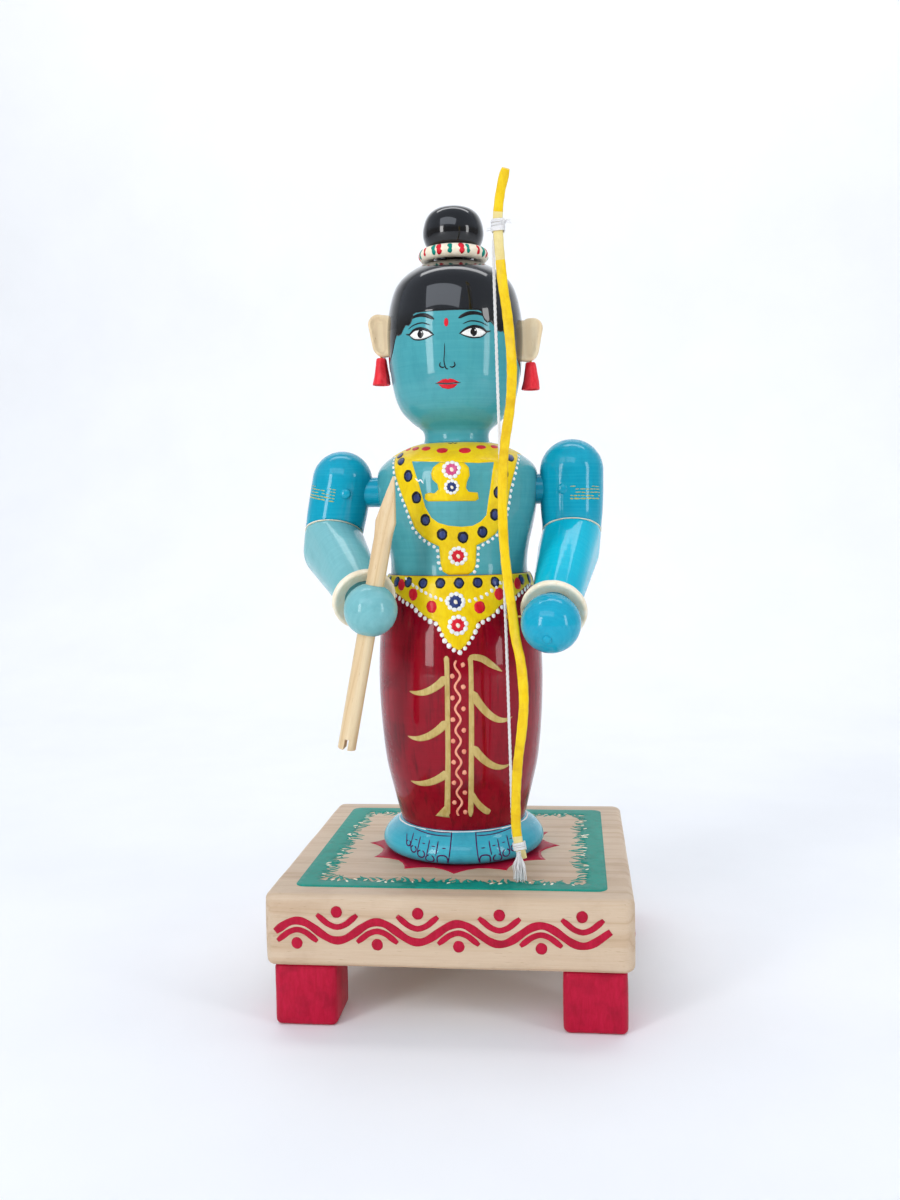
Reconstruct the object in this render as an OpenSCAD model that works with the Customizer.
// Turned wooden archer figure, lacquered, standing on a low square stool.
// The head turns on a dowel, both arms swing on dowels, the arrow slides in the right hand and
// the bow hangs from a fine nail in the left hand. "right" and "left" are the figure's own sides:
// the figure looks along -Y, so its right hand is on the -X side.
// The origin is on the floor under the figure's axis. Inside the figure's modules, heights are
// measured from the top of the stool, and on_stool() lifts them there.

/* [Stool] */
// Side of the square top
slab_w = 132.5; // [120:0.5:150]
// Thickness of the top
slab_t = 26.5; // [22:0.5:34]
// Rounding of the top's edges
slab_edge = 2.5; // [1:0.1:4]
// Height of the legs
leg_h = 23; // [18:0.5:30]
// Side of the square legs
leg_w = 23; // [19:0.5:26]
// Distance of a leg's outer faces from the edge of the top
leg_inset = 2.5; // [1:0.1:5]

/* [Body] */
// Largest radius of the foot disc
foot_r = 33; // [32:0.1:35]
// Height of the foot disc
foot_h = 12.6; // [11:0.1:14]
// Largest radius of the lower body
dhoti_r = 33.1; // [32:0.1:34]
// Height of the waist seam
waist_z = 112; // [110:0.5:114]
// Largest radius of the chest
chest_r = 32.3; // [31.5:0.1:33]
// Height of the neck seam
neck_z = 163.6; // [163:0.1:165]

/* [Head] */
// Largest radius of the head
head_r = 26.9; // [26:0.1:28]
// Height of the crown of the head
crown_z = 236; // [235:0.1:237]
// Largest radius of the topknot
topknot_r = 12.1; // [11:0.1:13]
// Height of the top of the topknot
topknot_z = 257; // [254:0.5:260]

/* [Arms] */
// Height of the shoulder pivots
shoulder_z = 145; // [143:0.5:147]
// Radius of the shoulder dowels
shoulder_dowel_r = 6; // [5:0.1:6.5]
// Radius of the right upper arm
right_arm_r = 12.2; // [11.8:0.1:12.6]
// Radius of the left upper arm
left_arm_r = 12.6; // [12:0.1:12.8]
// Slope of the elbow seams
elbow_seam = 24; // [20:1:28]
// Radius of the right hand's ball
right_ball_r = 10; // [9.5:0.1:10.5]
// Radius of the left hand's ball
left_ball_r = 10.9; // [10.5:0.1:11]
// Outer radius of the bangles
bangle_r = 12.3; // [11.8:0.1:12.4]

/* [Arrow and bow] */
// Radius of the arrow's shaft
arrow_r = 3.4; // [3:0.1:3.5]
// Length of the arrow above the right hand's centre
arrow_up = 50; // [45:0.5:55]
// Length of the arrow below the right hand's centre
arrow_down = 53; // [45:0.5:55]
// Width of the bow's bamboo strip
bow_w = 3.5; // [3:0.1:3.6]
// Thickness of the bow's bamboo strip
bow_t = 2; // [1.8:0.1:2.2]
// Radius of the bowstring
string_r = 0.6; // [0.5:0.05:0.7]

/* [Fits] */
// Radial clearance of a dowel that turns or slides in its hole
run_gap = 0.05; // [0.02:0.01:0.09]
// Radial glue gap of a dowel that is fixed in its hole
glue_gap = 0.02; // [0.01:0.01:0.05]

/* [Hidden] */
$fn = 64;
top_z = leg_h + slab_t;

// Stool
leg_x = slab_w / 2 - leg_inset - leg_w / 2;
leg_screw_r = 1.8;
leg_screw_head_r = 3.6;
leg_screw_len = 34;
leg_screw_recess = 2;
base_screw_r = 2.2;
base_screw_head_r = 4.4;
base_screw_len = 54;
base_screw_recess = 1;

// Dowels inside the body
spine_r = 5;
spine_z0 = waist_z - 20;
spine_z1 = waist_z + 20;
neck_dowel_r = 5;
neck_dowel_z0 = neck_z - 10.5;
neck_dowel_z1 = neck_z + 18;
head_gap = 0.2;
topknot_dowel_r = 3;
topknot_dowel_z0 = crown_z - 12;
topknot_dowel_z1 = crown_z + 13;
shoulder_in = 12;

// Arms: the top of the upper arm, the elbow seam, the heel of the forearm, the wrist and the palm
right_top = [-47.1, 0, 149.6];
right_elbow = [-51.2, 0, 129];
right_heel = [-51, -1, 121.5];
right_heel_r = 12.6;
right_wrist = [-32.6, -35.7, 104];
right_palm = [-28.8, -42.9, 100.3];
left_top = [45.7, 0, 151.8];
left_elbow = [45.5, 0, 128];
left_heel = [44.2, -1, 120];
left_heel_r = 12.2;
left_wrist = [38.8, -40.1, 99.4];
left_palm = [37.8, -48, 95.3];
elbow_r = 11.7;
wrist_r = 8.8;
bangle_t = 2.4;
bangle_hole_r = 7.4;
elbow_dowel_r = 3;
elbow_dowel_len = 16;
spigot_r = 3.5;
spigot_len = 13;
brad_r = 0.9;
brad_head_r = 2.1;

// Arrow: it leans outwards towards its nock, and it stays in a plane across the figure
arrow_dir = [0.194, 0, 0.981];
arrow_head_len = 19;

// Bow: the strip's centre line from its lower to its upper tip. It is held at bow_pivot.
bow_pivot = [24, -45, 97.5];
bow_brad_r = 0.45;
bow_path = [[26.4, -42, 7], [25.1, -41.5, 11], [24, -42, 18], [23.9, -42.8, 26],
    [24.4, -45, 36], [25.4, -48.5, 46], [27, -53, 57], [28, -55, 68.5],
    [27, -51.5, 81], [25, -47.5, 90], bow_pivot, [22.8, -42.6, 106],
    [21.4, -40.6, 117], [20.6, -40, 129], [20.5, -40, 140], [21, -42, 151],
    [22.3, -46.5, 161.5], [24.6, -52.5, 173], [25.5, -55.5, 184.5], [24.9, -53.5, 195],
    [23.7, -49.5, 206], [22.2, -45.5, 216], [21.1, -42.3, 227], [20.4, -40.8, 238],
    [20.7, -41.5, 244], [21.9, -44, 250], [23.9, -47.5, 256]];
bow_steps = 2;
// The bowstring runs straight between its two knots, just behind the bow
string_path = [[19.4, -38.3, 238.2], [18.8, -37.4, 235], [18.3, -37, 230], [18.5, -37, 220],
    [18.9, -37, 198], [19.3, -37, 176], [19.7, -37, 154], [20.1, -37, 132], [20.5, -37, 110],
    [21, -37, 88], [21.4, -37, 66], [21.8, -37, 44], [22.2, -37, 22], [22.6, -37.8, 14.5],
    [23.6, -39, 11.2]];

// ---------- helpers ----------

module on_stool() {
    translate([0, 0, top_z]) children();
}

// Turns its children's Z axis to run from point a to point b, starting at a
module aim(a, b) {
    v = b - a;
    translate(a) rotate([0, acos(v[2] / norm(v)), atan2(v[1], v[0])]) children();
}

// A smooth curve through the points p, with n steps between two of them
function spline(a, b, c, d, t) = 0.5 * (2 * b + (c - a) * t + (2 * a - 5 * b + 4 * c - d) * t * t
    + (3 * b - a - 3 * c + d) * t * t * t);
function smooth(p, n) = let (m = len(p) - 1) [
    for (i = [0 : m - 1]) for (k = [0 : n - 1])
        spline(p[max(i - 1, 0)], p[i], p[i + 1], p[min(i + 2, m)], k / n),
    p[m]];
function arc(cx, cy, r, a0, a1, n) = [for (i = [0 : n])
    [cx + r * cos(a0 + (a1 - a0) * i / n), cy + r * sin(a0 + (a1 - a0) * i / n)]];

// A turned solid: p runs up the outside as [radius, height]
module turned(p, n = 3) {
    q = smooth(p, n);
    m = len(p) - 1;
    foot = p[0][0] > 0 ? [[0, p[0][1]]] : [];
    head = p[m][0] > 0 ? [[0, p[m][1]]] : [];
    rotate_extrude() polygon(concat(foot, q, head));
}

function round_rect(w, h, r) = concat(
    arc(w / 2 - r, h / 2 - r, r, 0, 90, 5),
    arc(-w / 2 + r, h / 2 - r, r, 90, 180, 5),
    arc(-w / 2 + r, -h / 2 + r, r, 180, 270, 5),
    arc(w / 2 - r, -h / 2 + r, r, 270, 360, 5));

// A square block that stands on z = 0, with all its edges rounded
module rounded_block(w, h, edge, corner) {
    intersection() {
        linear_extrude(h) polygon(round_rect(w, w, corner));
        translate([0, 0, h / 2]) rotate([90, 0, 0])
            linear_extrude(w, center = true) polygon(round_rect(w, h, edge));
        translate([0, 0, h / 2]) rotate([90, 0, 90])
            linear_extrude(w, center = true) polygon(round_rect(w, h, edge));
    }
}

// A countersunk wood screw that points up, with its slotted head's face at z = 0
module wood_screw(r, head_r, len) {
    difference() {
        union() {
            cylinder(r1 = head_r, r2 = r, h = head_r - r, $fn = 32);
            cylinder(r = r, h = len - 3 * r, $fn = 32);
            translate([0, 0, len - 3 * r]) cylinder(r1 = r, r2 = 0.2, h = 3 * r, $fn = 32);
        }
        translate([-head_r, -0.4, -1]) cube([2 * head_r, 0.8, 1.8]);
    }
}

// The hole for such a screw, with a recess under its head
module screw_hole(r, head_r, len, recess) {
    gap = 0.05;
    translate([0, 0, -1]) cylinder(r = head_r + gap, h = recess + 1, $fn = 32);
    translate([0, 0, recess]) cylinder(r1 = head_r + gap, r2 = r + gap, h = head_r - r, $fn = 32);
    translate([0, 0, recess]) cylinder(r = r + gap, h = len + 0.5, $fn = 32);
}

// A tube or strip along the points p. Each ring is the outline s, set across the path:
// its first coordinate lies along X, and its second along the normal in the path's plane.
function unit(v) = v / norm(v);
function ring_at(p, i, s) = let (
    m = len(p) - 1,
    t = unit(p[min(i + 1, m)] - p[max(i - 1, 0)]),
    nrm = unit(cross(t, [1, 0, 0])),
    side = cross(nrm, t))
    [for (q = s) p[i] + q[0] * side + q[1] * nrm];
module sweep(p, s) {
    n = len(s);
    m = len(p);
    pts = [for (i = [0 : m - 1]) each ring_at(p, i, s)];
    sides = [for (i = [0 : m - 2]) for (k = [0 : n - 1]) let (j = (k + 1) % n)
        each [[i * n + k, i * n + j, (i + 1) * n + j], [i * n + k, (i + 1) * n + j, (i + 1) * n + k]]];
    ends = [[for (k = [n - 1 : -1 : 0]) k], [for (k = [0 : n - 1]) (m - 1) * n + k]];
    polyhedron(points = pts, faces = concat(sides, ends));
}
// A flat strip's outline with its corners cut, and a round cord's outline
function strip(w, t) = let (a = w / 2, b = t / 2, c = t / 4)
    [[a, -b + c], [a, b - c], [a - c, b], [-a + c, b], [-a, b - c], [-a, -b + c], [-a + c, -b],
     [a - c, -b]];
function round_cord(r) = [for (k = [0 : 7]) [r * cos(45 * k), r * sin(45 * k)]];

// ---------- stool ----------

module plinth_slab() {
    color("#ddc9a8") difference() {
        translate([0, 0, leg_h]) rounded_block(slab_w, slab_t, slab_edge, 4);
        for (sx = [-1, 1]) for (sy = [-1, 1])
            translate([sx * leg_x, sy * leg_x, 0])
                screw_hole(leg_screw_r, leg_screw_head_r, leg_screw_len, leg_screw_recess);
        translate([0, 0, leg_h])
            screw_hole(base_screw_r, base_screw_head_r, base_screw_len, base_screw_recess);
    }
}

module leg(sx, sy) {
    color("#a3123f") translate([sx * leg_x, sy * leg_x, 0]) difference() {
        rounded_block(leg_w, leg_h, 2, 2.5);
        screw_hole(leg_screw_r, leg_screw_head_r, leg_screw_len, leg_screw_recess);
    }
}
module leg_front_right() { leg(-1, -1); }
module leg_front_left() { leg(1, -1); }
module leg_back_right() { leg(-1, 1); }
module leg_back_left() { leg(1, 1); }

module leg_screws() {
    color("#b9b9b9") for (sx = [-1, 1]) for (sy = [-1, 1])
        translate([sx * leg_x, sy * leg_x, leg_screw_recess])
            wood_screw(leg_screw_r, leg_screw_head_r, leg_screw_len);
}

module base_screw() {
    color("#b9b9b9") translate([0, 0, leg_h + base_screw_recess])
        wood_screw(base_screw_r, base_screw_head_r, base_screw_len);
}

module base_screw_hole() {
    translate([0, 0, -slab_t])
        screw_hole(base_screw_r, base_screw_head_r, base_screw_len, base_screw_recess);
}

// ---------- body ----------

module foot_base() {
    r = foot_r;
    h = foot_h;
    color("#4bafcd") on_stool() difference() {
        turned([[r - 6.2, 0], [r - 2.4, 0.8], [r - 0.3, 3], [r - 0.1, 5.4], [r - 1.6, 8.4],
            [r - 4.4, 11], [r - 7.4, h]]);
        base_screw_hole();
    }
}

module dhoti() {
    r = dhoti_r;
    w = waist_z;
    color("#960a28") on_stool() difference() {
        turned([[r - 8, foot_h], [r - 6.7, 17.8], [r - 4.3, 27.5], [r - 2.2, 37.2],
            [r - 0.7, 51.7], [r, 66], [r - 0.1, 78], [r - 1.1, 93], [r - 2.7, w - 7],
            [r - 3.6, w - 2.2], [r - 4.6, w]]);
        base_screw_hole();
        translate([0, 0, spine_z0]) cylinder(r = spine_r + glue_gap, h = 40);
    }
}

module torso() {
    r = chest_r;
    w = waist_z;
    n = neck_z;
    color("#5aa5af") on_stool() difference() {
        turned([[r - 4.7, w], [r - 4.8, w + 5], [r - 3.8, w + 12], [r - 1.9, w + 20],
            [r - 0.5, w + 28], [r, n - 13], [r - 1.2, n - 9.4], [r - 4.2, n - 6.4],
            [r - 9.6, n - 3], [r - 14.4, n - 1], [r - 18, n]]);
        translate([0, 0, w - 1]) cylinder(r = spine_r + glue_gap, h = spine_z1 - w + 1);
        translate([0, 0, neck_dowel_z0 - 0.5]) cylinder(r = neck_dowel_r + run_gap, h = 20);
        for (s = [-1, 1]) translate([s * (shoulder_in - 0.5), 0, shoulder_z])
            rotate([0, s * 90, 0]) cylinder(r = shoulder_dowel_r + run_gap, h = 40);
    }
}

module spine_dowel() {
    color("#d8bd90") on_stool() translate([0, 0, spine_z0])
        cylinder(r = spine_r, h = spine_z1 - spine_z0);
}

// ---------- head ----------

module head_solid() {
    r = head_r;
    n = neck_z + head_gap;
    c = crown_z;
    turned([[r - 13.6, n], [r - 14.2, n + 2.6], [r - 13.4, n + 5.2], [r - 9.4, n + 8.2],
        [r - 4.6, n + 13.4], [r - 2.1, n + 20.4], [r - 0.6, n + 31], [r, n + 42], [r - 0.9, n + 52],
        [r - 3.9, c - 10.4], [r - 10.2, c - 4.6], [r - 18, c - 1.2], [0, c]]);
}

module head() {
    color("#4ba0aa") on_stool() difference() {
        head_solid();
        translate([0, 0, neck_z - 1])
            cylinder(r = neck_dowel_r + glue_gap, h = neck_dowel_z1 - neck_z + 1);
        translate([0, 0, topknot_dowel_z0]) cylinder(r = topknot_dowel_r + glue_gap, h = 20);
    }
}

module neck_dowel() {
    color("#d8bd90") on_stool() translate([0, 0, neck_dowel_z0])
        cylinder(r = neck_dowel_r, h = neck_dowel_z1 - neck_dowel_z0);
}

// A turned ring, painted with blotches, glued round the root of the topknot
hair_ring_r = 11.2;
hair_ring_t = 2.6;
hair_ring_z = crown_z + 1.6;
module hair_ring() {
    color("#ebe6d8") on_stool() translate([0, 0, hair_ring_z])
        rotate_extrude() translate([hair_ring_r, 0]) circle(r = hair_ring_t, $fn = 32);
}

module topknot() {
    r = topknot_r;
    z = crown_z;
    t = topknot_z;
    color("#141414") on_stool() difference() {
        turned([[r - 4.1, z + 0.3], [r - 4, z + 2.4], [r - 1.6, z + 4.9], [r - 0.1, z + 8.6],
            [r, t - 9.6], [r - 1.5, t - 4.4], [r - 5.2, t - 1.2], [0, t]]);
        translate([0, 0, z - 1]) cylinder(r = topknot_dowel_r + glue_gap, h = topknot_dowel_z1 - z + 1);
    }
}

module topknot_dowel() {
    color("#d8bd90") on_stool() translate([0, 0, topknot_dowel_z0])
        cylinder(r = topknot_dowel_r, h = topknot_dowel_z1 - topknot_dowel_z0);
}

// An ear is a small half disc of bare wood, hollowed to fit the side of the head.
// s is the side, z the height of its middle and reach how far it stands from the axis.
ear_t = 4;
ear_h = 17;
ear_pin_x = 30;
right_ear_z = 207.5;
left_ear_z = 203.8;
ear_reach = 35;
module ear(s, z) {
    color("#dcc8aa") on_stool() difference() {
        translate([0, ear_t / 2, z]) rotate([90, 0, 0]) linear_extrude(ear_t)
            polygon([for (q = ear_outline()) [s * q[0], q[1]]]);
        head_solid();
        translate([s * ear_pin_x, 0, z - ear_h]) cylinder(r = 0.5 + glue_gap, h = ear_h, $fn = 24);
    }
}
function ear_outline() = concat([[20, -ear_h / 2 + 1], [28.2, -ear_h / 2]],
    arc(ear_reach - 5.4, -ear_h / 2 + 5.4, 5.4, -80, 0, 6),
    arc(ear_reach - 4.2, ear_h / 2 - 4.2, 4.2, 0, 100, 6),
    [[26, ear_h / 2 - 0.6], [20, ear_h / 2 - 1]]);
module right_ear() { ear(-1, right_ear_z); }
module left_ear() { ear(1, left_ear_z); }

// An earring is a carved, flared drop that hangs right under the ear
earring_h = 11;
earring_gap = 0.3;
module earring(s, z) {
    top = z - ear_h / 2 - earring_gap;
    color("#e1283c") on_stool() translate([s * ear_pin_x, 0, top - earring_h]) difference() {
        cylinder(r1 = 3.7, r2 = 2.1, h = earring_h, $fn = 8);
        translate([0, 0, earring_h - 5]) cylinder(r = 0.5 + glue_gap, h = 6, $fn = 24);
    }
}
module right_earring() { earring(-1, right_ear_z); }
module left_earring() { earring(1, left_ear_z); }

module earring_pins() {
    color("#c9a54a") on_stool() for (q = [[-1, right_ear_z], [1, left_ear_z]])
        translate([q[0] * ear_pin_x, 0, q[1] - ear_h / 2 - 5]) cylinder(r = 0.5, h = 9.4, $fn = 24);
}

// ---------- arms ----------

// Half a space on one side of an elbow's seam: dir 1 is above the seam, -1 below it
module seam_half(elbow, dir) {
    d = 100;
    translate(elbow) rotate([-elbow_seam, 0, 0]) translate([-d / 2, -d / 2, dir > 0 ? 0 : -d])
        cube(d);
}

module elbow_pin(elbow, r, extra) {
    half = elbow_dowel_len / 2 + extra;
    translate(elbow) rotate([-elbow_seam, 0, 0]) translate([0, 0, -half])
        cylinder(r = r, h = 2 * half, $fn = 48);
}

// Where the shoulder dowel ends inside the arm
function arm_bore_end(top) = abs(top[0]) + 4;

module upper_arm(top, elbow, r) {
    s = sign(top[0]);
    len = norm(top - elbow);
    color("#00a5c3") on_stool() difference() {
        aim(elbow, top) rotate_extrude() polygon(concat(
            [[0, -10], [elbow_r, -10], [elbow_r, 0], [r, len * 0.6]],
            arc(0, len, r, 0, 90, 12)));
        seam_half(elbow, -1);
        elbow_pin(elbow, elbow_dowel_r + glue_gap, 0.3);
        translate([s * 20, 0, shoulder_z]) rotate([0, s * 90, 0])
            cylinder(r = shoulder_dowel_r + glue_gap, h = arm_bore_end(top) - 19.6);
        brad_shape(top, r, 0.02, false);
    }
}

module shoulder_dowel(top) {
    s = sign(top[0]);
    color("#5aa5af") on_stool() difference() {
        translate([s * shoulder_in, 0, shoulder_z]) rotate([0, s * 90, 0])
            cylinder(r = shoulder_dowel_r, h = arm_bore_end(top) - shoulder_in);
        brad_shape(top, 20, 0.02, false);
    }
}

// A brad through the front of the upper arm into its dowel. Its domed head sits in a shallow seat.
module brad_shape(top, r, gap, domed) {
    x = sign(top[0]) * (abs(top[0]) - 3.4);
    tip = -1.5;
    translate([x, tip, shoulder_z - 0.6]) rotate([90, 0, 0])
        cylinder(r = brad_r + gap, h = r - 2 + (domed ? 0.2 : 3), $fn = 24);
    head_y = tip - r + 2.2;
    if (!domed) translate([x, head_y + 0.6 + gap, shoulder_z - 0.6]) rotate([90, 0, 0])
        cylinder(r = brad_head_r + gap, h = 4, $fn = 32);
    if (domed) translate([x, head_y, shoulder_z - 0.6]) rotate([90, 0, 0])
        rotate_extrude($fn = 32) polygon(concat([[0, -0.6], [brad_head_r, -0.6]],
            arc(0, 0, brad_head_r, 0, 90, 6) * [[1, 0], [0, 0.5]]));
}
module arm_brad(top, r) {
    color("#2fb2c9") on_stool() brad_shape(top, r, 0, true);
}

module elbow_dowel(elbow) {
    color("#d8bd90") on_stool() elbow_pin(elbow, elbow_dowel_r, 0);
}

// A plump forearm: it blends the sloped seam, the round heel of the elbow and the wrist
module forearm(elbow, heel, heel_r, wrist, palm, c) {
    color(c) on_stool() difference() {
        hull() {
            translate(elbow) rotate([-elbow_seam, 0, 0]) translate([0, 0, -0.4])
                scale([1, 1 / cos(elbow_seam), 1]) cylinder(r = elbow_r, h = 0.4, $fn = 40);
            translate(heel) sphere(r = heel_r, $fn = 40);
            aim(wrist, palm) translate([0, 0, -bangle_t / 2 - 1]) cylinder(r = wrist_r, h = 1, $fn = 40);
        }
        seam_half(elbow, 1);
        elbow_pin(elbow, elbow_dowel_r + glue_gap, 0.3);
        aim(wrist, palm) translate([0, 0, -spigot_len - 0.5])
            cylinder(r = spigot_r + glue_gap, h = spigot_len + 3, $fn = 48);
    }
}

// A flat turned hoop with a dished front, glued against the end of the forearm
module bangle(wrist, palm) {
    b = bangle_r;
    t = bangle_t / 2;
    color("#ebd7b9") on_stool() aim(wrist, palm) rotate_extrude() polygon([
        [bangle_hole_r, -t], [b - 0.7, -t], [b - 0.2, -t + 0.3], [b, -t + 0.8], [b, t - 0.6],
        [b - 0.3, t - 0.1], [b - 0.8, t], [b - 1.4, t - 0.1], [b - 3.6, 0], [bangle_hole_r, -0.4]]);
}

// A ball on a short neck, with a spigot in the forearm. nub is the height of the turned nib.
module hand(wrist, palm, r, nub) {
    len = norm(palm - wrist);
    t = bangle_t / 2;
    aim(wrist, palm) rotate_extrude() polygon(concat(
        [[0, -spigot_len], [spigot_r, -spigot_len], [spigot_r, -t], [5, -t], [5.2, -0.5]],
        arc(0, len, r, -54, nub > 0 ? 80 : 90, 24),
        nub > 0 ? [[1.6, len + r - 0.2], [1.5, len + r + nub * 0.7], [0.9, len + r + nub],
            [0, len + r + nub]] : []));
}

module right_shoulder_dowel() { shoulder_dowel(right_top); }
module right_upper_arm() { upper_arm(right_top, right_elbow, right_arm_r); }
module right_arm_brad() { arm_brad(right_top, right_arm_r); }
module right_elbow_dowel() { elbow_dowel(right_elbow); }
module right_forearm() {
    forearm(right_elbow, right_heel, right_heel_r, right_wrist, right_palm, "#7db9b9");
}
module right_bangle() { bangle(right_wrist, right_palm); }
module right_hand() {
    color("#7db9b9") on_stool() difference() {
        hand(right_wrist, right_palm, right_ball_r, 0);
        aim(right_palm - 20 * arrow_dir, right_palm)
            cylinder(r = arrow_r + run_gap, h = 40);
    }
}

module left_shoulder_dowel() { shoulder_dowel(left_top); }
module left_upper_arm() { upper_arm(left_top, left_elbow, left_arm_r); }
module left_arm_brad() { arm_brad(left_top, left_arm_r); }
module left_elbow_dowel() { elbow_dowel(left_elbow); }
module left_forearm() {
    forearm(left_elbow, left_heel, left_heel_r, left_wrist, left_palm, "#00bed7");
}
module left_bangle() { bangle(left_wrist, left_palm); }
module left_hand() {
    color("#14a0be") on_stool() difference() {
        hand(left_wrist, left_palm, left_ball_r, 0.7);
        translate(bow_pivot) rotate([0, 90, 0]) cylinder(r = bow_brad_r + 0.01, h = 12, $fn = 24);
    }
}

// ---------- arrow ----------

// A whittled stick: round shaft, flat four-sided point and a notch for the string
module arrow() {
    s = arrow_up - arrow_head_len;
    color("#d7b98c") on_stool() aim(right_palm, right_palm + arrow_dir) difference() {
        union() {
            translate([0, 0, -arrow_down]) cylinder(r = arrow_r, h = arrow_down + s - 2);
            hull() {
                translate([0, 0, s - 2]) linear_extrude(0.1) square([6.4, 4.8], center = true);
                translate([0, 0, s + 2]) linear_extrude(0.1) square([8, 5], center = true);
                translate([0, 0, arrow_up - 0.2]) linear_extrude(0.2) square([0.8, 0.6], center = true);
            }
        }
        translate([-0.8, -5, -arrow_down - 1]) cube([1.6, 10, 5]);
    }
}

// ---------- bow ----------

module bow_brad() {
    color("#b9a050") on_stool() translate(bow_pivot) rotate([0, 90, 0]) {
        translate([0, 0, -bow_w / 2 - 0.15]) cylinder(r = bow_brad_r, h = 13, $fn = 24);
        translate([0, 0, -bow_w / 2 - 0.65]) cylinder(r = 1, h = 0.5, $fn = 24);
    }
}

module bow() {
    color("#fad714") on_stool() difference() {
        sweep(smooth(bow_path, bow_steps), strip(bow_w, bow_t));
        translate(bow_pivot) rotate([0, 90, 0])
            cylinder(r = bow_brad_r + run_gap, h = 10, center = true, $fn = 24);
    }
}

module bowstring() {
    color("#f2f0ea") on_stool() sweep(smooth(string_path, 3), round_cord(string_r));
}

// A short sleeve of wound thread round the bow, between two points of its centre line
module lashing(a, b, w, t) {
    v = unit(b - a);
    color("#f2f0ea") on_stool() translate(a) rotate([-asin(v[1]), atan2(v[0], v[2]), 0])
        linear_extrude(norm(b - a)) difference() {
            polygon(strip(w, t));
            polygon(strip(bow_w + 0.4, bow_t + 0.7));
        }
}
module top_lashing() { lashing([20.5, -41, 235.5], [20.4, -40.9, 240.5], 5, 3.8); }
module bottom_lashing() { lashing([25.3, -41.6, 10], [24.7, -41.7, 13.5], 5, 3.6); }

// The frayed ends of the string hang in front of the lower lashing down to the stool
module thread_tuft() {
    color("#f2f0ea") on_stool() hull() {
        translate([24.8, -44.2, 9.4]) sphere(r = 0.9, $fn = 24);
        translate([25.4, -47.6, 1.6]) scale([1, 1, 0.4]) sphere(r = 3, $fn = 24);
    }
}

// ---------- output ----------

plinth_slab();
leg_front_right();
leg_front_left();
leg_back_right();
leg_back_left();
leg_screws();
base_screw();
foot_base();
dhoti();
torso();
spine_dowel();
neck_dowel();
head();
hair_ring();
topknot();
topknot_dowel();
right_ear();
left_ear();
right_earring();
left_earring();
earring_pins();
right_shoulder_dowel();
right_upper_arm();
right_arm_brad();
right_elbow_dowel();
right_forearm();
right_bangle();
right_hand();
left_shoulder_dowel();
left_upper_arm();
left_arm_brad();
left_elbow_dowel();
left_forearm();
left_bangle();
left_hand();
arrow();
bow_brad();
bow();
bowstring();
top_lashing();
bottom_lashing();
thread_tuft();
